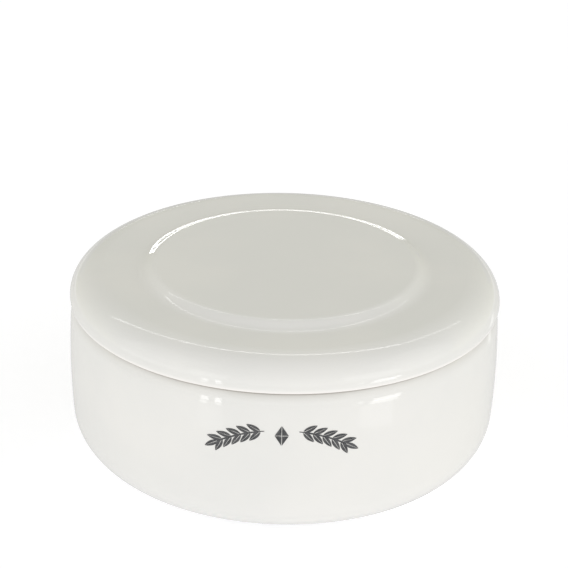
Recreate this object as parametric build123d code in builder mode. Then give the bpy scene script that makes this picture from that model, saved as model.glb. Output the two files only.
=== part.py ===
from build123d import *
from math import asin, cos, degrees, radians, sin
import os

# Lidded porcelain shaving bowl with a soap cake inside and a fired-on mark on its front.
# Millimetres, +Z up. The origin is the middle of the foot ring, on the surface that the
# bowl stands on. The marked front of the bowl faces -Y.

# ---- Driving dimensions -------------------------------------------------------------

belly_radius = 55.15      # widest part of the bowl wall
belly_height = 27.0       # height of that widest part
wall_bow_radius = 200.0   # the wall bows out this gently between corner and rim
corner_radius = 12.0      # outside rounding between wall and underside
corner_height = 12.2      # where the wall meets that rounding
rim_height = 42.0         # top of the bowl, where the lid rests
roll_height = 37.4        # where the wall starts to roll in under the lid
roll_radius = 10.0
rim_outer_round = 0.6
rim_inner_round = 1.3

mouth_radius = 49.8       # inside of the wall
floor_height = 5.2        # inside floor above the standing surface
floor_corner_radius = 10.0

foot_inner_radius = 36.0  # unglazed ring that the bowl stands on
foot_outer_radius = 39.6
foot_round = 0.3
foot_recess = 1.3         # height of the underside inside the foot ring
foot_draft = 0.6          # how far the inner flank of the foot ring leans in

lid_radius = 55.0
lid_edge_radius = 54.85   # lower edge of the lid, at the seam
lid_edge_round = 0.35
lid_top_height = 49.75    # flat shoulder around the raised middle
shoulder_width = 8.7      # rounded rim of the lid, a quarter ellipse
shoulder_drop = 6.65
plateau_height = 51.2     # raised middle of the lid
plateau_radius = 32.75    # where its edge starts to roll off
step_round = 5.0          # both roundings of that edge, above and below its slope
step_slope = 25.0         # degrees

flange_radius = 49.3      # ring under the lid that drops into the mouth
flange_thickness = 4.0
flange_bottom = 38.0
flange_round = 1.6
ceiling_height = 45.3     # underside of the lid
ceiling_round = 2.5

soap_radius = 38.0        # 76 mm refill cake
soap_thickness = 21.0
soap_top_round = 3.0
soap_bottom_round = 1.5

mark_gap = 0.02           # printed layer lies just clear of the glaze
mark_thickness = 0.05
mark_crown = 32.4         # top of the arch that both sprigs follow
mark_arch_radius = 30.0
stem_width = 0.45
stem_start = 8.0          # degrees from the top of the arch
stem_end = 31.0
leaf_length = 3.7
leaf_width = 1.35
leaf_pairs = 5
leaf_splay = 36.0         # degrees between leaf and stem
leaf_overlap = 1.0        # degrees of stem under the leaf at its tip
lozenge_width = 3.4       # between the sprigs
lozenge_height = 5.2
lozenge_centre = 31.0


def bow_angle(height):
    """Angle on the wall's large arc at the given height."""
    return degrees(asin((height - belly_height) / wall_bow_radius))


# ---- Bowl ---------------------------------------------------------------------------

bow_centre = (belly_radius - wall_bow_radius, belly_height)
roll_angle = bow_angle(roll_height)
corner_angle = bow_angle(corner_height)

# The roll is an arc tangent to the wall, so both centres lie on one line.
roll_centre = (
    bow_centre[0] + (wall_bow_radius - roll_radius) * cos(radians(roll_angle)),
    bow_centre[1] + (wall_bow_radius - roll_radius) * sin(radians(roll_angle)),
)
rim_angle = degrees(asin((rim_height - roll_centre[1]) / roll_radius))

with BuildPart() as bowl:
    with BuildSketch(Plane.XZ) as bowl_section:
        with BuildLine():
            roll = CenterArc(roll_centre, roll_radius, rim_angle, roll_angle - rim_angle)
            outer_wall = CenterArc(bow_centre, wall_bow_radius, roll_angle, corner_angle - roll_angle)
            corner = JernArc(outer_wall @ 1, outer_wall % 1, corner_radius, -90 - corner_angle)
            underside_height = (corner @ 1).Y
            Polyline(
                corner @ 1,
                (foot_outer_radius, underside_height),
                (foot_outer_radius, 0),
                (foot_inner_radius, 0),
                (foot_inner_radius - foot_draft, foot_recess),
                (0, foot_recess),
                (0, floor_height),
                (mouth_radius - floor_corner_radius, floor_height),
            )
            floor_corner = JernArc(
                (mouth_radius - floor_corner_radius, floor_height), (1, 0), floor_corner_radius, 90
            )
            Polyline(floor_corner @ 1, (mouth_radius, rim_height), roll @ 0)
        make_face()
        rim_corners = bowl_section.vertices().group_by(Axis.Y)[-1].sort_by(Axis.X)
        fillet(rim_corners[0], rim_inner_round)
        rim_corners = bowl_section.vertices().group_by(Axis.Y)[-1].sort_by(Axis.X)
        fillet(rim_corners[-1], rim_outer_round)
        fillet(bowl_section.vertices().group_by(Axis.Y)[0], foot_round)
    revolve(axis=Axis.Z)
bowl.part.label = "bowl"

# ---- Lid ----------------------------------------------------------------------------

# The edge of the raised middle is a straight slope between two equal tangent arcs.
slope = radians(step_slope)
slope_drop = plateau_height - lid_top_height - 2 * step_round * (1 - cos(slope))
slope_length = slope_drop / sin(slope)
widest_height = lid_top_height - shoulder_drop

with BuildPart() as lid:
    with BuildSketch(Plane.XZ) as lid_section:
        with BuildLine():
            Line((0, plateau_height), (plateau_radius, plateau_height))
            roll_off = JernArc((plateau_radius, plateau_height), (1, 0), step_round, -step_slope)
            flank = PolarLine(roll_off @ 1, slope_length, -step_slope)
            run_out = JernArc(flank @ 1, flank % 1, step_round, step_slope)
            shoulder = EllipticalCenterArc(
                (lid_radius - shoulder_width, widest_height),
                shoulder_width,
                shoulder_drop,
                start_angle=0,
                arc_size=90,
            )
            Line(run_out @ 1, shoulder @ 1)
            Polyline(
                shoulder @ 0,
                (lid_edge_radius, rim_height),
                (flange_radius, rim_height),
                (flange_radius, flange_bottom),
                (flange_radius - flange_thickness, flange_bottom),
                (flange_radius - flange_thickness, ceiling_height),
                (0, ceiling_height),
                (0, plateau_height),
            )
        make_face()
        fillet(lid_section.vertices().group_by(Axis.Y)[0], flange_round)
        ceiling_corner = lid_section.vertices().filter_by_position(
            Axis.Y, ceiling_height - 0.01, ceiling_height + 0.01
        ).sort_by(Axis.X)[-1]
        fillet(ceiling_corner, ceiling_round)
        lower_edge = lid_section.vertices().filter_by_position(
            Axis.Y, rim_height - 0.01, rim_height + 0.01
        ).sort_by(Axis.X)[-1]
        fillet(lower_edge, lid_edge_round)
    revolve(axis=Axis.Z)
lid.part.label = "lid"

# ---- Soap cake ----------------------------------------------------------------------

with BuildPart(Plane.XY.offset(floor_height)) as soap_cake:
    Cylinder(soap_radius, soap_thickness, align=(Align.CENTER, Align.CENTER, Align.MIN))
    fillet(soap_cake.edges().group_by(Axis.Z)[-1], soap_top_round)
    fillet(soap_cake.edges().group_by(Axis.Z)[0], soap_bottom_round)
soap_cake.part.label = "soap_cake"

# ---- Front mark ---------------------------------------------------------------------

# One pointed leaf, lying along +X from its root at the origin.
with BuildSketch() as leaf:
    with BuildLine():
        ThreePointArc((0, 0), (leaf_length / 2, leaf_width / 2), (leaf_length, 0))
        ThreePointArc((0, 0), (leaf_length / 2, -leaf_width / 2), (leaf_length, 0))
    make_face()


def on_arch(angle, turn):
    """Place on the right-hand stem, `angle` degrees from the crown, turned from its run."""
    place = Vector(0, mark_arch_radius).rotate(Axis.Z, -angle)
    centre = Vector(0, mark_crown - mark_arch_radius)
    return Location(centre + place, (0, 0, turn - angle))


leaf_spacing = (stem_end - stem_start) / leaf_pairs
leaf_places = [on_arch(stem_end - leaf_overlap, 0)]
for pair in range(leaf_pairs):
    root = stem_start + (pair + 0.4) * leaf_spacing
    leaf_places.append(on_arch(root, leaf_splay))
    leaf_places.append(on_arch(root, -leaf_splay))

with BuildPart() as front_mark:
    with BuildSketch(Plane.XZ):
        with BuildLine():
            inner_face = CenterArc(
                bow_centre, wall_bow_radius + mark_gap, corner_angle, roll_angle - corner_angle
            )
            outer_face = CenterArc(
                bow_centre,
                wall_bow_radius + mark_gap + mark_thickness,
                corner_angle,
                roll_angle - corner_angle,
            )
            Line(inner_face @ 0, outer_face @ 0)
            Line(inner_face @ 1, outer_face @ 1)
        make_face()
    revolve(axis=Axis.Z)
    with BuildSketch(Plane.XZ):
        with BuildLine():
            CenterArc(
                (0, mark_crown - mark_arch_radius),
                mark_arch_radius,
                90 - stem_end,
                stem_end - stem_start,
            )
        trace(line_width=stem_width)
        with Locations(*leaf_places):
            add(leaf.sketch)
        mirror(about=Plane.YZ)
        with Locations((0, lozenge_centre)):
            Polygon(
                (0, lozenge_height / 2),
                (lozenge_width / 2, 0),
                (0, -lozenge_height / 2),
                (-lozenge_width / 2, 0),
            )
    extrude(amount=2 * belly_radius, mode=Mode.INTERSECT)
front_mark.part.label = "front_mark"

# ---- Files --------------------------------------------------------------------------

os.makedirs("parts", exist_ok=True)
for piece in (bowl, lid, soap_cake, front_mark):
    export_step(piece.part, f"parts/{piece.part.label}.step")
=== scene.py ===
import math

import bpy
import numpy as np
from mathutils import Matrix, Vector, noise


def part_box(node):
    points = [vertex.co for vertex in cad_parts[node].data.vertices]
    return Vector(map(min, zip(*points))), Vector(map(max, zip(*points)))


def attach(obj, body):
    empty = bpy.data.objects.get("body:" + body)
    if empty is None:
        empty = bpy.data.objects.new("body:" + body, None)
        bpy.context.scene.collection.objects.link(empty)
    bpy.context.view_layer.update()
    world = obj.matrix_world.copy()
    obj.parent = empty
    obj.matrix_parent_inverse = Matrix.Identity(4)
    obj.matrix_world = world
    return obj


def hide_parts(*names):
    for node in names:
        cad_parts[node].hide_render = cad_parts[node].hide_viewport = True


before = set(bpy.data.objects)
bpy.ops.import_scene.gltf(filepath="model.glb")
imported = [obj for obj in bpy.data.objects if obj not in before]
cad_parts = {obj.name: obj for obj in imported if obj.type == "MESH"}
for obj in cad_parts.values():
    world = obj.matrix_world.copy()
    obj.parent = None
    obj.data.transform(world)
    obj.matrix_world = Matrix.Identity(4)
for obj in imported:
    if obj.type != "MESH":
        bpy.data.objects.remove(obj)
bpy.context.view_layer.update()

# A lidded porcelain shaving bowl. The frame has +Z up, and the marked front faces -Y.
# Outlines are in millimetres, as (radius, height), and meshes are in metres.

MM = 0.001
BOWL_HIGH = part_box("bowl")[1]
LID_LOW, LID_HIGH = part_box("lid")
SOAP_LOW, SOAP_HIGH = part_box("soap_cake")


# ---- Dimensions, in mm ----------------------------------------------------------------

RIM_HEIGHT = BOWL_HIGH.z / MM
BELLY_RADIUS = BOWL_HIGH.x / MM
BELLY_HEIGHT = 27.0
WALL_BOW = 200.0
CORNER_RADIUS = 12.0
CORNER_HEIGHT = 12.2
ROLL_HEIGHT = 37.4
ROLL_RADIUS = 10.0
RIM_OUTER_ROUND = 0.6
RIM_INNER_ROUND = 1.3
MOUTH_RADIUS = 49.8
FLOOR_HEIGHT = SOAP_LOW.z / MM
FLOOR_CORNER = 10.0
FOOT_INNER = 36.0
FOOT_OUTER = 39.6
FOOT_ROUND = 0.3
FOOT_RECESS = 1.3
FOOT_DRAFT = 0.6
RECESS_ROUND = 0.5

LID_RADIUS = LID_HIGH.x / MM
LID_EDGE_RADIUS = LID_RADIUS - 0.15
LID_EDGE_ROUND = 0.35
LID_TOP = 49.75          # flat shoulder around the raised middle
SHOULDER_WIDTH = 8.7
SHOULDER_DROP = 6.65
PLATEAU_TOP = LID_HIGH.z / MM
PLATEAU_RADIUS = 32.7
STEP_TOP_ROUND = 3.6
STEP_FOOT_ROUND = 5.5
STEP_SLOPE = 30.0
STEP_DISH = 0.25         # how far the step's foot lies below the shoulder
FLANGE_RADIUS = 49.3
FLANGE_INNER = 45.3
FLANGE_BOTTOM = LID_LOW.z / MM
FLANGE_ROUND = 1.6
CEILING = 45.3
CEILING_ROUND = 2.5
SEAT_ROUND = 0.4

SOAP_RADIUS = SOAP_HIGH.x / MM
SOAP_TOP = SOAP_HIGH.z / MM
SOAP_BOTTOM_ROUND = 1.5
SOAP_TOP_ROUND = 3.0

TURN_STEPS = 288         # vertices in each ring of a turned piece


# ---- Outlines -------------------------------------------------------------------------


SAME_POINT = 1e-6


def arc(centre, radius, start, end, steps=16):
    """Points on a circle, or on an ellipse if radius is a pair, from start to end in degrees."""
    rx, rz = radius if isinstance(radius, tuple) else (radius, radius)
    angles = np.radians(np.linspace(start, end, steps + 1))
    return [(centre[0] + rx * math.cos(a), centre[1] + rz * math.sin(a)) for a in angles]


def rounded(before, corner, after, radius, steps=8):
    """The arc that rounds a corner between the lines to the points before and after it."""
    p, b, a = (np.array(v, float) for v in (corner, before, after))
    to_b = (b - p) / np.linalg.norm(b - p)
    to_a = (a - p) / np.linalg.norm(a - p)
    half = math.acos(float(np.clip(to_b @ to_a, -1, 1))) / 2
    middle = (to_b + to_a) / np.linalg.norm(to_b + to_a)
    centre = p + middle * radius / math.sin(half)
    first = p + to_b * radius / math.tan(half) - centre
    last = p + to_a * radius / math.tan(half) - centre
    start = math.atan2(first[1], first[0])
    turn = math.atan2(first[0] * last[1] - first[1] * last[0], first @ last)
    return arc(centre, radius, math.degrees(start), math.degrees(start + turn), steps)


def filled(points, spacing=1.2):
    """The same outline with its long runs divided, so that no step is over the spacing."""
    made = [points[0]]
    for a, b in zip(points, points[1:], strict=False):
        length = math.dist(a, b)
        if length < SAME_POINT:
            continue
        count = max(1, math.ceil(length / spacing))
        for i in range(1, count + 1):
            made.append((a[0] + (b[0] - a[0]) * i / count, a[1] + (b[1] - a[1]) * i / count))
    return made


def wall_radius(height):
    """Outer radius of the bowl's wall between its corner and its rim."""
    return BELLY_RADIUS - WALL_BOW + math.sqrt(WALL_BOW**2 - (height - BELLY_HEIGHT) ** 2)


def bow_angle(height):
    """Angle on the wall's large arc at the given height, in degrees."""
    return math.degrees(math.asin((height - BELLY_HEIGHT) / WALL_BOW))


def bowl_outline():
    """From the middle of the underside, out and up the wall, over the rim and down inside."""
    corner_angle = bow_angle(CORNER_HEIGHT)
    corner_centre = (
        wall_radius(CORNER_HEIGHT) - CORNER_RADIUS * math.cos(math.radians(corner_angle)),
        CORNER_HEIGHT - CORNER_RADIUS * math.sin(math.radians(corner_angle)),
    )
    underside = corner_centre[1] - CORNER_RADIUS
    foot_out, foot_in = (FOOT_OUTER, 0), (FOOT_INNER, 0)
    recess = (FOOT_INNER - FOOT_DRAFT, FOOT_RECESS)
    flank = (FOOT_OUTER, underside)
    roll_angle = bow_angle(ROLL_HEIGHT)
    roll_centre = (
        wall_radius(ROLL_HEIGHT) - ROLL_RADIUS * math.cos(math.radians(roll_angle)),
        ROLL_HEIGHT - ROLL_RADIUS * math.sin(math.radians(roll_angle)),
    )
    rim_angle = math.degrees(math.asin((RIM_HEIGHT - roll_centre[1]) / ROLL_RADIUS))
    roll = arc(roll_centre, ROLL_RADIUS, roll_angle, rim_angle, 24)
    mouth = (MOUTH_RADIUS, RIM_HEIGHT)
    floor_centre = (MOUTH_RADIUS - FLOOR_CORNER, FLOOR_HEIGHT + FLOOR_CORNER)
    bow_centre = (BELLY_RADIUS - WALL_BOW, BELLY_HEIGHT)
    return filled([
        (0, FOOT_RECESS),
        *rounded((0, FOOT_RECESS), recess, foot_in, RECESS_ROUND),
        *rounded(recess, foot_in, foot_out, FOOT_ROUND),
        *rounded(foot_in, foot_out, flank, FOOT_ROUND),
        *rounded(foot_out, flank, (corner_centre[0], underside), FOOT_ROUND),
        *arc(corner_centre, CORNER_RADIUS, -90, corner_angle, 24),
        *arc(bow_centre, WALL_BOW, corner_angle, roll_angle, 24),
        *roll[:-2],
        *rounded(roll[-2], roll[-1], mouth, RIM_OUTER_ROUND),
        *rounded(roll[-1], mouth, (MOUTH_RADIUS, 0), RIM_INNER_ROUND, 12),
        *arc(floor_centre, FLOOR_CORNER, 0, -90, 20),
        (0, FLOOR_HEIGHT),
    ])


def lid_outline():
    """From the middle of the top, out over the shoulder, and back in under the lid."""
    slope = math.radians(STEP_SLOPE)
    foot = LID_TOP - STEP_DISH
    both_rounds = STEP_TOP_ROUND + STEP_FOOT_ROUND
    drop = PLATEAU_TOP - foot - both_rounds * (1 - math.cos(slope))
    step_end = PLATEAU_RADIUS + both_rounds * math.sin(slope) + drop / math.tan(slope)
    step_top = (PLATEAU_RADIUS, PLATEAU_TOP - STEP_TOP_ROUND)
    step_foot = (step_end, foot + STEP_FOOT_ROUND)
    widest = LID_TOP - SHOULDER_DROP
    edge, seat = (LID_EDGE_RADIUS, RIM_HEIGHT), (FLANGE_RADIUS, RIM_HEIGHT)
    flange_out, flange_in = (FLANGE_RADIUS, FLANGE_BOTTOM), (FLANGE_INNER, FLANGE_BOTTOM)
    ceiling = (FLANGE_INNER, CEILING)
    shoulder_centre = (LID_RADIUS - SHOULDER_WIDTH, widest)
    return filled([
        (0, PLATEAU_TOP),
        *arc(step_top, STEP_TOP_ROUND, 90, 90 - STEP_SLOPE, 12),
        *arc(step_foot, STEP_FOOT_ROUND, 270 - STEP_SLOPE, 270, 14),
        *arc(shoulder_centre, (SHOULDER_WIDTH, SHOULDER_DROP), 90, 0, 40),
        *rounded((LID_RADIUS, widest), edge, seat, LID_EDGE_ROUND),
        *rounded(edge, seat, flange_out, SEAT_ROUND),
        *rounded(seat, flange_out, flange_in, FLANGE_ROUND),
        *rounded(flange_out, flange_in, ceiling, FLANGE_ROUND),
        *rounded(flange_in, ceiling, (0, CEILING), CEILING_ROUND),
        (0, CEILING),
    ])


# ---- Mesh making ----------------------------------------------------------------------


def new_object(name, vertices, faces, body, node, material):
    """A smooth mesh, given in mm, that rides on a body and stands for a CAD node."""
    mesh = bpy.data.meshes.new(name)
    mesh.from_pydata((np.asarray(vertices, float) * MM).tolist(), [], faces)
    mesh.validate()
    mesh.polygons.foreach_set("use_smooth", [True] * len(mesh.polygons))
    mesh.materials.append(material)
    made = bpy.data.objects.new(name, mesh)
    bpy.context.scene.collection.objects.link(made)
    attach(made, body)
    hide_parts(node)
    return made


def turned(outline, shift=None):
    """Vertices and faces of an outline turned about the axis, from its foot on the axis to its
    head. shift(radius, height, azimuth) moves a point out along its outline's normal, in mm."""
    points = np.array(outline, float)
    along = np.gradient(points, axis=0)
    normals = np.stack([along[:, 1], -along[:, 0]], axis=1)
    normals /= np.linalg.norm(normals, axis=1)[:, None]
    vertices, faces = [], []
    rings = points[1:-1]
    for (radius, height), normal in zip(rings, normals[1:-1], strict=True):
        for step in range(TURN_STEPS):
            azimuth = 2 * math.pi * step / TURN_STEPS
            move = shift(radius, height, azimuth) if shift else 0.0
            r = radius + normal[0] * move
            vertices.append((r * math.cos(azimuth), r * math.sin(azimuth), height + normal[1] * move))
    for ring in range(len(rings) - 1):
        low, high = ring * TURN_STEPS, (ring + 1) * TURN_STEPS
        for step in range(TURN_STEPS):
            after = (step + 1) % TURN_STEPS
            faces.append((low + step, low + after, high + after, high + step))
    first, last = len(vertices), len(vertices) + 1
    vertices += [(0, 0, points[0][1]), (0, 0, points[-1][1])]
    top = (len(rings) - 1) * TURN_STEPS
    for step in range(TURN_STEPS):
        after = (step + 1) % TURN_STEPS
        faces.append((first, after, step))
        faces.append((last, top + step, top + after))
    return vertices, faces


def give_values(made, name, value):
    """A named value on each vertex, from value(radius, height) with both in mm."""
    layer = made.data.attributes.new(name, "FLOAT", "POINT")
    for vertex, item in zip(made.data.vertices, layer.data, strict=True):
        x, y, z = vertex.co / MM
        item.value = value(math.hypot(x, y), z)


def fade(value, start, end):
    """0 at start, 1 at end, smooth between."""
    t = min(1.0, max(0.0, (value - start) / (end - start)))
    return t * t * (3 - 2 * t)


# ---- Materials ------------------------------------------------------------------------


class Nodes:
    """The nodes of a material or world, with short calls for adding and joining them."""

    COLOUR_A, COLOUR_B, COLOUR_OUT = 6, 7, 2  # the Mix node's sockets for colours

    def __init__(self, owner, shader="Principled BSDF"):
        owner.use_nodes = True
        self.owner = owner
        self.tree = owner.node_tree
        self.shader = self.tree.nodes[shader]

    def put(self, value, socket):
        """Link an output to the socket, or set the socket to a plain value."""
        if isinstance(value, bpy.types.NodeSocket):
            self.tree.links.new(value, socket)
        else:
            socket.default_value = value

    def add(self, kind, settings=None, **inputs):
        node = self.tree.nodes.new(kind)
        for key, value in (settings or {}).items():
            setattr(node, key, value)
        for key, value in inputs.items():
            self.put(value, node.inputs[key.replace("_", " ")])
        return node

    def place(self):
        return self.add("ShaderNodeTexCoord").outputs["Object"]

    def noise(self, place, scale, detail=3.0, roughness=0.5):
        inputs = {"Vector": place, "Scale": scale, "Detail": detail, "Roughness": roughness}
        return self.add("ShaderNodeTexNoise", **inputs).outputs["Fac"]

    def attribute(self, name):
        """A value that give_values put on the vertices."""
        return self.add("ShaderNodeAttribute", {"attribute_name": name}).outputs["Fac"]

    def spread(self, value, low, high, to_low=0.0, to_high=1.0):
        """The value's range from low to high, stretched smoothly from to_low to to_high."""
        limits = {"From_Min": low, "From_Max": high, "To_Min": to_low, "To_Max": to_high}
        settings = {"interpolation_type": "SMOOTHSTEP"}
        return self.add("ShaderNodeMapRange", settings, Value=value, **limits).outputs["Result"]

    def maths(self, operation, *values):
        made = self.add("ShaderNodeMath", {"operation": operation})
        for socket, value in zip(made.inputs, values, strict=False):
            self.put(value, socket)
        return made.outputs["Value"]

    def mix(self, share, a, b):
        """A colour between a and b."""
        made = self.add("ShaderNodeMix", {"data_type": "RGBA"})
        self.put(share, made.inputs["Factor"])
        for index, value in ((self.COLOUR_A, a), (self.COLOUR_B, b)):
            self.put((*value, 1.0) if isinstance(value, tuple) else value, made.inputs[index])
        return made.outputs[self.COLOUR_OUT]

    def bump(self, height, strength, distance, below=None):
        """A normal bumped by the height, on top of the normal below it."""
        made = self.add("ShaderNodeBump", Height=height, Strength=strength, Distance=distance)
        if below is not None:
            self.put(below, made.inputs["Normal"])
        return made.outputs["Normal"]

    def feed(self, **sockets):
        """Give values or outputs to the shader's own sockets."""
        for key, value in sockets.items():
            self.put(value, self.shader.inputs[key.replace("_", " ")])


GLAZE = (0.80, 0.795, 0.765)
GLAZE_THIN = (0.83, 0.82, 0.785)
# painted shade under the lid's overhang, in the roll below the rim
GLAZE_RIM_SHADE = (0.68, 0.665, 0.62)
# painted highlight along the lid's lower edge
GLAZE_EDGE_HIGHLIGHT = (0.93, 0.905, 0.87)
# bare clay, on the foot ring and at the rim and seat, where its dark colour is painted shade in the
# seam between lid and bowl
BISCUIT_AND_SEAM_SHADE = (0.43, 0.395, 0.35)
BISCUIT_GRAIN_AND_SEAM_SHADE = tuple(c * 0.93 for c in BISCUIT_AND_SEAM_SHADE)
BISCUIT_ROUGHNESS = 0.62
SPECK = (0.16, 0.13, 0.10)
SPECK_SHARE = (0.955, 0.96)    # cells whose random value is over this hold a speck
SPECK_STRENGTH = 0.55


def glazed_porcelain():
    """White glaze with faint clouds, a few iron specks and orange peel; painted shade in the roll
    under the rim, a painted highlight along the lid's lower edge, and bare clay where unglazed, whose
    dark colour at the rim and seat is painted shade in the seam.
    """
    n = Nodes(bpy.data.materials.new("white_porcelain_glaze"))
    place = n.place()
    clouds = n.spread(n.noise(place, 28, 3), 0.35, 0.65)
    glaze = n.mix(clouds, GLAZE, GLAZE_THIN)
    # Painted shade in the roll under the rim.
    glaze = n.mix(n.attribute("painted_rim_shade"), glaze, GLAZE_RIM_SHADE)
    # Painted highlight along the lid's lower edge.
    glaze = n.mix(n.attribute("painted_edge_highlight"), glaze, GLAZE_EDGE_HIGHLIGHT)
    cells = n.add("ShaderNodeTexVoronoi", Vector=place, Scale=110.0)
    dot = n.spread(cells.outputs["Distance"], 0.012, 0.03, 1.0, 0.0)
    draw = n.add("ShaderNodeSeparateColor", Color=cells.outputs["Color"]).outputs["Red"]
    speck = n.maths("MULTIPLY", dot, n.spread(draw, *SPECK_SHARE))
    glaze = n.mix(n.maths("MULTIPLY", speck, SPECK_STRENGTH), glaze, SPECK)
    # Bare clay on the foot and at the seam; at the rim and seat its dark colour is painted shade.
    bare = n.attribute("bare")
    grain = n.noise(place, 1800, 4, 0.7)
    clay = n.mix(grain, BISCUIT_GRAIN_AND_SEAM_SHADE, BISCUIT_AND_SEAM_SHADE)
    n.feed(Base_Color=n.mix(bare, glaze, clay))
    sheen = n.spread(n.noise(place, 60, 2), 0.3, 0.7, 0.045, 0.085)
    inputs = {"Factor": bare, "A": sheen, "B": BISCUIT_ROUGHNESS}
    roughness = n.add("ShaderNodeMix", {"data_type": "FLOAT"}, **inputs)
    n.feed(Roughness=roughness.outputs["Result"], IOR=1.5)
    peel = n.bump(n.noise(place, 420, 2), 0.05, 0.0002)
    n.feed(Normal=n.bump(n.maths("MULTIPLY", grain, bare), 0.5, 0.00005, peel))
    return n.owner


SOAP_CREAM = (0.80, 0.72, 0.55)
SOAP_PALE = (0.86, 0.79, 0.64)
SOAP_FLECK = (0.72, 0.62, 0.44)


def pressed_soap():
    """Waxy cream soap with soft clouds, small flecks and a worn, slightly uneven surface."""
    n = Nodes(bpy.data.materials.new("pressed_cream_soap"))
    place = n.place()
    clouds = n.spread(n.noise(place, 55, 5, 0.6), 0.35, 0.65)
    cream = n.mix(clouds, SOAP_CREAM, SOAP_PALE)
    flecks = n.spread(n.noise(place, 900, 2), 0.62, 0.72)
    n.feed(Base_Color=n.mix(n.maths("MULTIPLY", flecks, 0.35), cream, SOAP_FLECK))
    n.feed(Roughness=n.spread(n.noise(place, 140, 3), 0.3, 0.7, 0.34, 0.5))
    n.feed(Subsurface_Weight=0.25, Subsurface_Scale=0.003)
    waxy = n.bump(n.noise(place, 160, 4), 0.25, 0.0006)
    n.feed(Normal=n.bump(n.noise(place, 1500, 2), 0.12, 0.0001, waxy))
    return n.owner


INK_DARK = (0.050, 0.052, 0.055)
INK_PALE = (0.085, 0.086, 0.088)


def fired_ink():
    """Dark transfer ink, a little uneven in density and gloss."""
    n = Nodes(bpy.data.materials.new("fired_dark_transfer"))
    place = n.place()
    density = n.spread(n.noise(place, 700, 3), 0.35, 0.65)
    n.feed(Base_Color=n.mix(density, INK_DARK, INK_PALE))
    n.feed(Roughness=n.spread(n.noise(place, 300, 2), 0.3, 0.7, 0.12, 0.2))
    n.feed(Normal=n.bump(n.noise(place, 1200, 2), 0.1, 0.00005))
    return n.owner


# ---- Bowl and lid ---------------------------------------------------------------------

WAVE_DEPTH = 0.07  # the bowl's outer wall wavers by up to this much


def wall_wave(height, azimuth):
    """How far the bowl's outer wall lies inside its true outline, in mm, from uneven drying."""
    around, across = math.cos(azimuth), math.sin(azimuth)
    slow = noise.noise(Vector((around * 3.2, across * 3.2, height / 26)))
    finer = noise.noise(Vector((around * 7.5, across * 7.5, height / 11 + 9)))
    return WAVE_DEPTH * (0.5 + 0.36 * slow + 0.14 * finer)


def bowl_shift(radius, height, azimuth):
    """The wall's waver, which fades out at the foot, at the rim and inside."""
    if radius <= MOUTH_RADIUS + 1.5:
        return 0.0
    share = fade(height, 3, 9) * fade(height, RIM_HEIGHT - 0.3, RIM_HEIGHT - 2.5)
    return -wall_wave(height, azimuth) * share


def bowl_bare_and_seam_shade(radius, height):
    """Bare clay on the foot ring, and on the rim where the lid sits; the dark clay colour on the rim
    is painted shade in the seam.
    """
    foot = fade(height, 0.35, 0.12) * (FOOT_INNER - 0.4 < radius)
    seat = fade(height, RIM_HEIGHT - 0.82, RIM_HEIGHT - 0.47) * fade(radius, 50.2, 50.8)
    return max(foot, seat)


def bowl_painted_rim_shade(radius, height):
    """Painted shade: a darker glaze colour in the roll under the rim, where the lid's overhang shades
    the wall.
    """
    return 0.5 * fade(height, RIM_HEIGHT - 3.2, RIM_HEIGHT - 0.4) * fade(radius, 53, 53.5)


def lid_bare_and_seam_shade(radius, height):
    """Bare clay where the lid sits on the rim; its dark colour there is painted shade in the seam."""
    return fade(height, RIM_HEIGHT + 0.08, RIM_HEIGHT + 0.03) * fade(radius, 49.6, 50.0)


def lid_painted_edge_highlight(radius, height):
    """Painted highlight: a paler glaze colour along the lid's lower edge, where it catches light."""
    return fade(height, RIM_HEIGHT + 0.9, RIM_HEIGHT + 0.5) * fade(radius, 54.0, 54.5)


def make_bowl(glaze):
    vertices, faces = turned(bowl_outline(), bowl_shift)
    bowl = new_object("porcelain_bowl", vertices, faces, "bowl", "bowl", glaze)
    give_values(bowl, "bare", bowl_bare_and_seam_shade)
    give_values(bowl, "painted_rim_shade", bowl_painted_rim_shade)


def make_lid(glaze):
    vertices, faces = turned(lid_outline()[::-1])
    lid = new_object("porcelain_lid", vertices, faces, "lid", "lid", glaze)
    give_values(lid, "bare", lid_bare_and_seam_shade)
    give_values(lid, "painted_edge_highlight", lid_painted_edge_highlight)


# ---- Soap -----------------------------------------------------------------------------

SOAP_SPACING = 0.45      # fine enough for the pressed pattern
SOAP_PANEL = 31.5
SOAP_PANEL_DEPTH = 0.9
SOAP_BEADS = 72
SOAP_BEAD_RING = 33.6
SOAP_BEAD_RADIUS = 1.15
SOAP_BEAD_HEIGHT = 0.45
ROSETTE_REACH = 13.5
ROSETTE_HEIGHT = 0.55
HUB_HEIGHT = 0.6
RUB_DEPTH = 0.12         # handling has worn the cake by up to twice this


def soap_outline():
    bottom = (SOAP_RADIUS, FLOOR_HEIGHT)
    top = (SOAP_RADIUS, SOAP_TOP)
    return filled([
        (0, FLOOR_HEIGHT),
        *rounded((0, FLOOR_HEIGHT), bottom, top, SOAP_BOTTOM_ROUND),
        *rounded(bottom, top, (0, SOAP_TOP), SOAP_TOP_ROUND, 14),
        (0, SOAP_TOP),
    ], SOAP_SPACING)


def soap_rub(radius, azimuth, third):
    """How far the worn surface lies off the true outline, in mm."""
    place = Vector((radius * math.cos(azimuth) / 9, radius * math.sin(azimuth) / 9, third))
    return -RUB_DEPTH * (1 + noise.noise(place))


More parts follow.
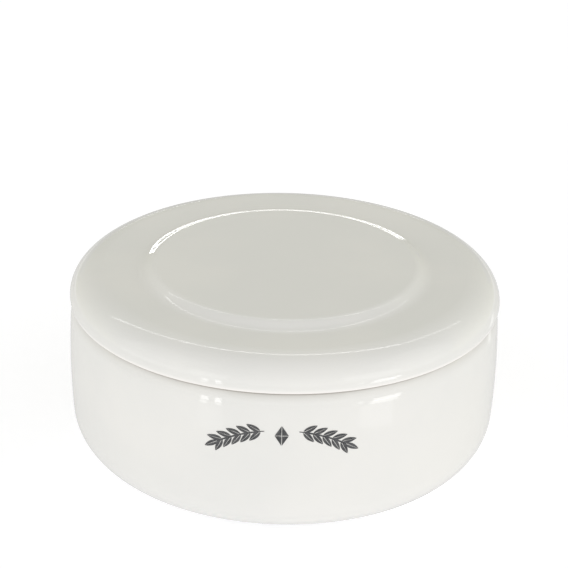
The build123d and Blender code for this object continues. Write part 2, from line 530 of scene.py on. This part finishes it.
def soap_shift(radius, height, azimuth):
    """The pressed top: a sunk panel inside a ring of beads, with a raised eight-leaf rosette."""
    if height < SOAP_TOP - 0.01:
        return soap_rub(radius, azimuth, height / 9)
    sunk = SOAP_PANEL_DEPTH * fade(radius, SOAP_PANEL + 0.5, SOAP_PANEL - 0.7)
    petal = ROSETTE_REACH * abs(math.cos(4 * azimuth)) ** 0.7
    rosette = ROSETTE_HEIGHT * fade(radius, petal + 0.4, petal - 1.2) * fade(radius, 1.2, 2.4)
    hub = HUB_HEIGHT * fade(radius, 2.2, 1.2)
    along = (azimuth * SOAP_BEADS / (2 * math.pi)) % 1.0 - 0.5
    pitch = 2 * math.pi * SOAP_BEAD_RING / SOAP_BEADS
    from_bead = math.hypot(along * pitch, radius - SOAP_BEAD_RING)
    groove = SOAP_BEAD_HEIGHT * fade(abs(radius - SOAP_BEAD_RING), 1.5, 1.1)
    bead = SOAP_BEAD_HEIGHT * math.sqrt(max(0.0, 1 - (from_bead / SOAP_BEAD_RADIUS) ** 2))
    return soap_rub(radius, azimuth, 3) - sunk + rosette + hub - max(0.0, groove - bead)


def make_soap(soap):
    vertices, faces = turned(soap_outline(), soap_shift)
    new_object("pressed_soap_cake", vertices, faces, "bowl", "soap_cake", soap)


# ---- Front mark -----------------------------------------------------------------------

MARK_LIFT = 0.02
MARK_THICKNESS = 0.04
ARCH_CROWN = 32.4
ARCH_RADIUS = 30.0
STEM_WIDTH = 0.42
STEM_START = 8.0
STEM_END = 31.0
LEAF_LENGTH = 3.7
LEAF_WIDTH = 1.35
LEAF_PAIRS = 5
LEAF_SPLAY = 36.0
VEIN = 0.16              # bare line along each leaf and between the lozenge's quarters
LOZENGE = (3.4, 5.2)     # width and height
LOZENGE_CENTRE = 31.0


def on_wall(x, z, lift):
    """The point on the front of the bowl's wavering wall at x and z, lifted clear of it."""
    azimuth = math.atan2(-1.0, x / wall_radius(z))
    r = wall_radius(z) - wall_wave(z, azimuth) + lift
    return (x, -math.sqrt(r * r - x * x), z)


class MarkMesh:
    """Thin closed patches on the bowl's wall, each from a grid of (x, z) points."""

    def __init__(self):
        self.vertices, self.faces = [], []

    def patch(self, grid):
        rows, columns = len(grid), len(grid[0])
        start = len(self.vertices)
        for lift in (MARK_LIFT + MARK_THICKNESS, MARK_LIFT):
            self.vertices += [on_wall(x, z, lift) for row in grid for x, z in row]
        back = rows * columns

        def at(i, j, under=0):
            return start + under * back + i * columns + j

        made = []
        for i in range(rows - 1):
            for j in range(columns - 1):
                made.append((at(i, j), at(i + 1, j), at(i + 1, j + 1), at(i, j + 1)))
                made.append((at(i, j, 1), at(i, j + 1, 1), at(i + 1, j + 1, 1), at(i + 1, j, 1)))
        edge = [(i, 0) for i in range(rows)]
        edge += [(rows - 1, j) for j in range(1, columns)]
        edge += [(i, columns - 1) for i in range(rows - 2, -1, -1)]
        edge += [(0, j) for j in range(columns - 2, 0, -1)]
        for a, b in zip(edge, edge[1:] + edge[:1], strict=True):
            made.append((at(*b), at(*a), at(*a, 1), at(*b, 1)))
        (x0, z0), (x1, z1), (x2, z2) = grid[0][0], grid[-1][0], grid[0][-1]
        turn = (x1 - x0) * (z2 - z0) - (z1 - z0) * (x2 - x0)
        self.faces += made if turn > 0 else [face[::-1] for face in made]


def rotated(direction, degrees):
    turn = math.radians(degrees)
    x, z = direction
    return np.array([
        x * math.cos(turn) - z * math.sin(turn),
        x * math.sin(turn) + z * math.cos(turn),
    ])


def on_arch(angle):
    """A point on the right-hand stem and the stem's direction there."""
    a = math.radians(angle)
    centre = np.array([0, ARCH_CROWN - ARCH_RADIUS])
    point = centre + ARCH_RADIUS * np.array([math.sin(a), math.cos(a)])
    return point, np.array([math.cos(a), -math.sin(a)])


def stem_grid():
    grid = []
    for angle in np.linspace(STEM_START, STEM_END, 24):
        point, along = on_arch(angle)
        across = np.array([-along[1], along[0]])
        taper = 0.45 + 0.55 * fade(angle, STEM_START, STEM_START + 6)
        grid.append([tuple(point + across * STEM_WIDTH / 2 * taper * v) for v in (-1, 0, 1)])
    return grid


def leaf_grids(root, along):
    """Both halves of a pointed leaf, each side of its bare midrib."""
    across = np.array([-along[1], along[0]])
    for side in (1, -1):
        grid = []
        for u in np.linspace(0.06, 0.995, 12):
            half = LEAF_WIDTH / 2 * math.sin(math.pi * u**0.85) ** 0.8 + 0.02
            inner = min(VEIN / 2 * (1 - 0.6 * u), half * 0.5)
            line = [inner + (half - inner) * v for v in np.linspace(0, 1, 4)]
            grid.append([tuple(root + along * LEAF_LENGTH * u + across * side * v) for v in line])
        yield grid


def sprig_grids():
    """The right-hand sprig: its stem, the leaf at its tip and the pairs along it."""
    yield stem_grid()
    yield from leaf_grids(*on_arch(STEM_END - 0.6))
    spacing = (STEM_END - STEM_START) / LEAF_PAIRS
    for pair in range(LEAF_PAIRS):
        root, along = on_arch(STEM_START + (pair + 0.4) * spacing)
        for side in (1, -1):
            yield from leaf_grids(root, rotated(along, LEAF_SPLAY * side))


def lozenge_grid(side_x, side_z):
    """One quarter of the lozenge between the sprigs."""
    gap = VEIN / 2
    width, height = LOZENGE[0] / 2 - gap * 1.5, LOZENGE[1] / 2 - gap * 1.5
    grid = []
    for u in np.linspace(0, 1, 8):
        reach = max(0.03, width * (1 - u))
        z = LOZENGE_CENTRE + side_z * (gap + height * u)
        grid.append([(side_x * (gap + reach * v), z) for v in (0, 0.5, 1)])
    return grid


def make_mark(ink):
    mark = MarkMesh()
    for grid in sprig_grids():
        mark.patch(grid)
        mark.patch([[(-x, z) for x, z in row] for row in grid])
    for side_x in (1, -1):
        for side_z in (1, -1):
            mark.patch(lozenge_grid(side_x, side_z))
    new_object("leaf_mark", mark.vertices, mark.faces, "bowl", "front_mark", ink)


# ---- Floor and what the glaze sees of it ----------------------------------------------

FLOOR_HALF = 6.0             # metres
FLOOR_GREY = 0.75
FLOOR_LIFT = 0.444           # its own light, which keeps it as white as the studio behind it
FLOOR_TINT = (1, 1, 1.04)
GLOSS_FLOOR_HALF = 0.6
GLOSS_FLOOR_HEIGHT = 0.00005
GLOSS_FLOOR_LEVEL = 0.70
FLAG_GAP = 1.5               # mm outside the lid
FLAG_BELOW = 1.7             # mm under the lid's shoulder
FLAG_ABOVE = 0.55            # mm over the shoulder at its ends, and more in the middle
FLAG_RISE = 0.85
FLAG_ENDS = (5, 175)         # degrees of azimuth, round the back
FLAG_STEPS = 64
FLAG_LEVEL = 0.56


def glow(name, base, strength, tint=(1, 1, 1), roughness=1.0):
    """A material without gloss that gives off its own even light."""
    n = Nodes(bpy.data.materials.new(name))
    n.feed(Base_Color=(base, base, base, 1), Roughness=roughness, Specular_IOR_Level=0.0)
    n.feed(Emission_Color=(*tint, 1), Emission_Strength=strength)
    return n.owner


def stage_mesh(name, vertices, faces, material):
    """A part of the studio, from vertices in metres."""
    mesh = bpy.data.meshes.new(name)
    mesh.from_pydata(vertices, [], faces)
    mesh.materials.append(material)
    made = bpy.data.objects.new(name, mesh)
    bpy.context.scene.collection.objects.link(made)
    return made


def square(half):
    return [(-half, -half, 0), (half, -half, 0), (half, half, 0), (-half, half, 0)]


def only_in_gloss(made):
    """Hide it from the camera and from matt surfaces, so that it shows in gloss alone."""
    made.visible_camera = False
    made.visible_diffuse = False
    made.visible_transmission = False


def make_floor():
    material = glow("pale_floor", FLOOR_GREY, FLOOR_LIFT, FLOOR_TINT, roughness=0.9)
    stage_mesh("studio_floor", square(FLOOR_HALF), [(0, 1, 2, 3)], material)


def make_gloss_floor():
    """What the glaze sees of the floor: a dimmer sheet that shows in gloss and nowhere else."""
    material = glow("gloss_floor", 0, GLOSS_FLOOR_LEVEL)
    sheet = stage_mesh("gloss_floor", square(GLOSS_FLOOR_HALF), [(0, 1, 2, 3)], material)
    sheet.location.z = GLOSS_FLOOR_HEIGHT
    only_in_gloss(sheet)
    sheet.visible_shadow = False


def make_flag():
    """A narrow grey ribbon behind the lid that keeps the low card out of the far rim's gloss."""
    radius, low = LID_RADIUS + FLAG_GAP, LID_TOP - FLAG_BELOW
    vertices, faces = [], []
    for azimuth in np.radians(np.linspace(*FLAG_ENDS, FLAG_STEPS + 1)):
        high = LID_TOP + FLAG_ABOVE + FLAG_RISE * math.sin(azimuth) ** 2
        x, y = radius * math.cos(azimuth) * MM, radius * math.sin(azimuth) * MM
        vertices += [(x, y, low * MM), (x, y, high * MM)]
    for step in range(1, FLAG_STEPS + 1):
        k = 2 * step
        faces.append((k - 2, k, k + 1, k - 1))
    ribbon = stage_mesh("gloss_flag", vertices, faces, glow("gloss_flag", 0, FLAG_LEVEL))
    only_in_gloss(ribbon)
    ribbon.visible_shadow = False


# ---- Light ----------------------------------------------------------------------------

# Degrees from the horizon behind, up and over to the horizon in front, and the level there.
WORLD_OVER = ((0, 0.56), (50, 0.60), (64, 0.38), (74, 0.38), (84, 0.58), (105, 0.71), (180, 1.13))
# How the level changes with the sideways part of the direction: by itself, its size, its square.
WORLD_RIGHT = 0.0735
WORLD_ASIDE = -0.2435
WORLD_SIDES = 0.889
WORLD_WARM = (1.0, 1.0, 0.84)    # the tint low behind the bowl
WORLD_WARM_UP_TO = 45.0          # degrees, and it fades out over the next ones
WORLD_WARM_FADE = 25.0


def make_world():
    """A pale room. Its level runs over from behind to in front, and rises at both sides."""
    world = bpy.data.worlds.new("studio")
    bpy.context.scene.world = world
    n = Nodes(world, "Background")
    parts = n.add("ShaderNodeSeparateXYZ", Vector=n.add("ShaderNodeTexCoord").outputs["Generated"])
    right, back, up = parts.outputs
    over = n.maths("DEGREES", n.maths("ARCTAN2", n.maths("MAXIMUM", up, 0.0), back))
    ramp = n.add("ShaderNodeValToRGB", Fac=n.maths("DIVIDE", over, 180.0))
    stops = ramp.color_ramp.elements
    while len(stops) < len(WORLD_OVER):
        stops.new(1.0)
    for stop, (angle, grey) in zip(stops, WORLD_OVER, strict=True):
        stop.position = angle / 180
        stop.color = (grey, grey, grey, 1)
    level = n.maths("MULTIPLY_ADD", right, WORLD_RIGHT, ramp.outputs["Color"])
    level = n.maths("MULTIPLY_ADD", n.maths("ABSOLUTE", right), WORLD_ASIDE, level)
    level = n.maths("MULTIPLY_ADD", n.maths("MULTIPLY", right, right), WORLD_SIDES, level)
    n.feed(Strength=n.maths("MAXIMUM", level, 0.0))
    past_warm = n.maths("DIVIDE", n.maths("SUBTRACT", over, WORLD_WARM_UP_TO), WORLD_WARM_FADE)
    n.feed(Color=n.mix(past_warm, WORLD_WARM, (1.0, 1.0, 1.0)))


def area_light(name, width, height, radiance):
    """A rectangular light that shows only in gloss, to be placed by the caller."""
    light = bpy.data.lights.new(name, "AREA")
    light.shape = "RECTANGLE"
    light.size, light.size_y = width, height
    light.energy = radiance * math.pi * width * height
    made = bpy.data.objects.new(name, light)
    bpy.context.scene.collection.objects.link(made)
    only_in_gloss(made)
    return made


def panel(name, target, azimuth, elevation, distance, width, height, radiance):
    """A light that stands off from a target point, in mm, at an azimuth counted from the front
    towards the right, and faces back at the target."""
    made = area_light(name, width, height, radiance)
    a, e = math.radians(azimuth), math.radians(elevation)
    out = Vector((math.sin(a) * math.cos(e), -math.cos(a) * math.cos(e), math.sin(e)))
    made.location = Vector(target) * MM + out * distance
    made.rotation_mode = "QUATERNION"
    made.rotation_quaternion = out.to_track_quat("Z", "Y")


CEILING_LIGHT_HEIGHT = 1.0
CEILING_LIGHT_WIDTH = 0.06


def ceiling_strip(name, start, end, radiance):
    """A strip light lying under the ceiling, between two places in metres."""
    run = Vector(end) - Vector(start)
    made = area_light(name, run.length, CEILING_LIGHT_WIDTH, radiance)
    made.location = (*((Vector(start) + Vector(end)) / 2), CEILING_LIGHT_HEIGHT)
    made.rotation_euler = (0, 0, math.atan2(run.y, run.x))


def make_lights():
    # The fine line round the lid's shoulder and the two inside its step.
    ends = ((-0.84, 0.875), (-0.33, 0.715), (0.38, 0.605), (0.84, 0.97))
    ceiling_strip("strip_left", ends[0], ends[1], 2.8)
    ceiling_strip("strip_middle", ends[1], ends[2], 4.2)
    ceiling_strip("strip_right", ends[2], ends[3], 2.0)
    # The long bright arc at the back of the raised middle.
    panel("card_behind", (-10.5, 0, 53.6), 180, 0, 0.1, 0.111, 0.0095, 5.5)
    # The small window highlights on the lid's shoulder and under the seam, and their tails.
    left_far, left_near = (-18.6, -51.6, 43.8), (-15.1, -52.7, 43.9)
    right_near, right_wide = (18.4, -51.7, 43.6), (25.0, -48.8, 43.6)
    panel("window_left_far", left_far, -39.0, -9, 0.1, 0.008, 0.018, 4.2)
    panel("window_left_near", left_near, -32.2, -9, 0.1, 0.007, 0.020, 4.6)
    panel("window_right_near", right_near, 39.7, -13, 0.1, 0.006, 0.014, 1.99)
    panel("window_right_wide", right_wide, 54.0, -13, 0.09, 0.030, 0.012, 3.53)
    panel("tail_left_far", left_far, -40.5, -20, 0.1, 0.008, 0.014, 2.39)
    panel("tail_left_near", left_near, -32.6, -20, 0.1, 0.006, 0.014, 2.25)
    panel("tail_right_wide", right_wide, 52.0, -20, 0.09, 0.03, 0.014, 2.72)
    # The upright glint at the right, and the faint light patches on the wall.
    panel("card_right", (51, -18, 41), 136, -14, 0.12, 0.010, 0.04, 0.744)
    panel("haze_left", (-17, -52, 30), -37, -30, 0.07, 0.02, 0.03, 0.482)
    panel("haze_right", (22, -50, 30), 50, -30, 0.07, 0.03, 0.035, 0.684)
    panel("glow_left", left_far, -38, 17, 0.3, 0.11, 0.11, 0.654)
    panel("glow_right", right_wide, 46, 17, 0.3, 0.17, 0.11, 0.686)
    middle = (0, 0, 50)
    panel("sky_left", middle, -75, 40, 0.8, 0.5, 0.5, 0.239)
    panel("sky_right", middle, 80, 38, 0.8, 0.5, 0.5, 0.301)


# ---- Camera ---------------------------------------------------------------------------

CAMERA_AIM_HEIGHT = 27.5     # mm
CAMERA_DISTANCE = 0.5943     # metres
CAMERA_ELEVATION = 26.735    # degrees, as are the turns away from the aim
CAMERA_LIFT = 1.5205
CAMERA_YAW = 0.0275
CAMERA_ROLL = 1.273
CAMERA_LENS = 145.0
CAMERA_SENSOR = 36.0


def make_camera():
    data = bpy.data.cameras.new("camera")
    data.lens = CAMERA_LENS
    data.sensor_width = CAMERA_SENSOR
    data.clip_start, data.clip_end = 0.01, 50.0
    camera = bpy.data.objects.new("camera", data)
    bpy.context.scene.collection.objects.link(camera)
    e = math.radians(CAMERA_ELEVATION)
    out = Vector((0, -math.cos(e), math.sin(e)))
    place = Matrix.Translation(Vector((0, 0, CAMERA_AIM_HEIGHT * MM)) + CAMERA_DISTANCE * out)
    turn = Matrix.Rotation(math.radians(90 - CAMERA_ELEVATION + CAMERA_LIFT), 4, "X")
    turn = turn @ Matrix.Rotation(math.radians(CAMERA_YAW), 4, "Y")
    camera.matrix_world = place @ turn @ Matrix.Rotation(math.radians(CAMERA_ROLL), 4, "Z")
    bpy.context.scene.camera = camera


# ---- Scene ----------------------------------------------------------------------------

glaze_material = glazed_porcelain()
make_bowl(glaze_material)
make_lid(glaze_material)
make_soap(pressed_soap())
make_mark(fired_ink())
make_floor()
make_gloss_floor()
make_flag()
make_world()
make_lights()
make_camera()

scene = bpy.context.scene
scene.view_settings.view_transform = "Standard"
scene.view_settings.look = "None"
